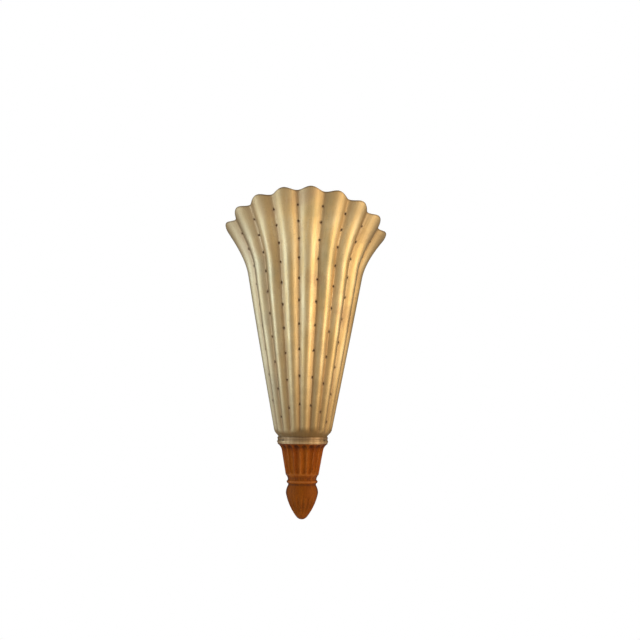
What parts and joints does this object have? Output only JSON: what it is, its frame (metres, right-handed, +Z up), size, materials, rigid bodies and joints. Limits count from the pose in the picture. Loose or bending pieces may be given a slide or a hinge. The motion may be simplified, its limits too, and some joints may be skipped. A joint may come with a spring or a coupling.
{
  "type": "wall sconce",
  "caption": "Half-round fluted brass shell sconce with a flared scalloped rim, a collar and a carved wooden drop, hooked on a wall bracket, with a candle lamp inside.",
  "frame": {"origin": "middle of the two wall screw holes, on the wall face of the bracket", "axes": "+Z up, +Y into the wall, the light stands out toward -Y, +X to the right as seen from the room"},
  "size_m": [0.242, 0.1228, 0.4858],
  "materials": {
    "zinc_steel": "satin zinc plate",
    "aged_brass": "satin, aged and lightly streaked",
    "collar_brass": "satin, paler",
    "dark_brass": "dark patina",
    "mahogany": "satin lacquer",
    "phenolic": "matte moulded",
    "ceramic": "unglazed steatite",
    "contact_brass": "bright",
    "solder": "dull tin",
    "black_glass": "vitrified",
    "nickel": "nickel plate",
    "bulb_glass": "frosted",
    "clear_glass": "clear",
    "tungsten": "drawn wire",
    "nylon": "natural nylon",
    "tinned_copper": "tinned",
    "lead_brown": "insulation",
    "lead_blue": "insulation",
    "lead_green": "insulation, green and yellow",
    "rubber_black": "matte"
  },
  "bodies": {
    "wall_bracket": {"wall_bracket": "zinc_steel"},
    "light": {"back_plate": "zinc_steel", "lamp_arm": "zinc_steel", "plate_screws": "zinc_steel", "drop_screws": "zinc_steel", "arm_screws": "zinc_steel", "nipple_nut": "zinc_steel", "toothed_washer": "zinc_steel", "nipple": "zinc_steel", "block_screws": "zinc_steel", "earth_screw": "zinc_steel", "shade": "aged_brass", "side_strip_left": "aged_brass", "side_strip_right": "aged_brass", "collar": "collar_brass", "collar_pins": "dark_brass", "wooden_drop": "mahogany", "lampholder_cap": "phenolic", "lampholder_body": "phenolic", "lampholder_core": "ceramic", "screw_shell": "contact_brass", "centre_contact": "contact_brass", "terminal_block": "nylon", "terminal_inserts": "contact_brass", "terminal_screws": "zinc_steel", "earth_lug": "tinned_copper", "live_lead": "lead_brown", "neutral_lead": "lead_blue", "earth_lead": "lead_green", "grommet": "rubber_black"},
    "bulb": {"bulb_contact": "solder", "bulb_insulator": "black_glass", "bulb_cap": "nickel", "bulb_glass": "bulb_glass", "bulb_stem": "clear_glass", "bulb_filament": "tungsten"}
  },
  "joints": [
    {"name": "lift_off", "type": "slide", "parent": "wall_bracket", "child": "light", "axis": [0, 0, 1], "range_m": [0, 0.006]},
    {"name": "bulb_unscrew", "type": "slide", "parent": "light", "child": "bulb", "axis": [0, 0, 1], "range_m": [0, 0.03]}
  ]
}
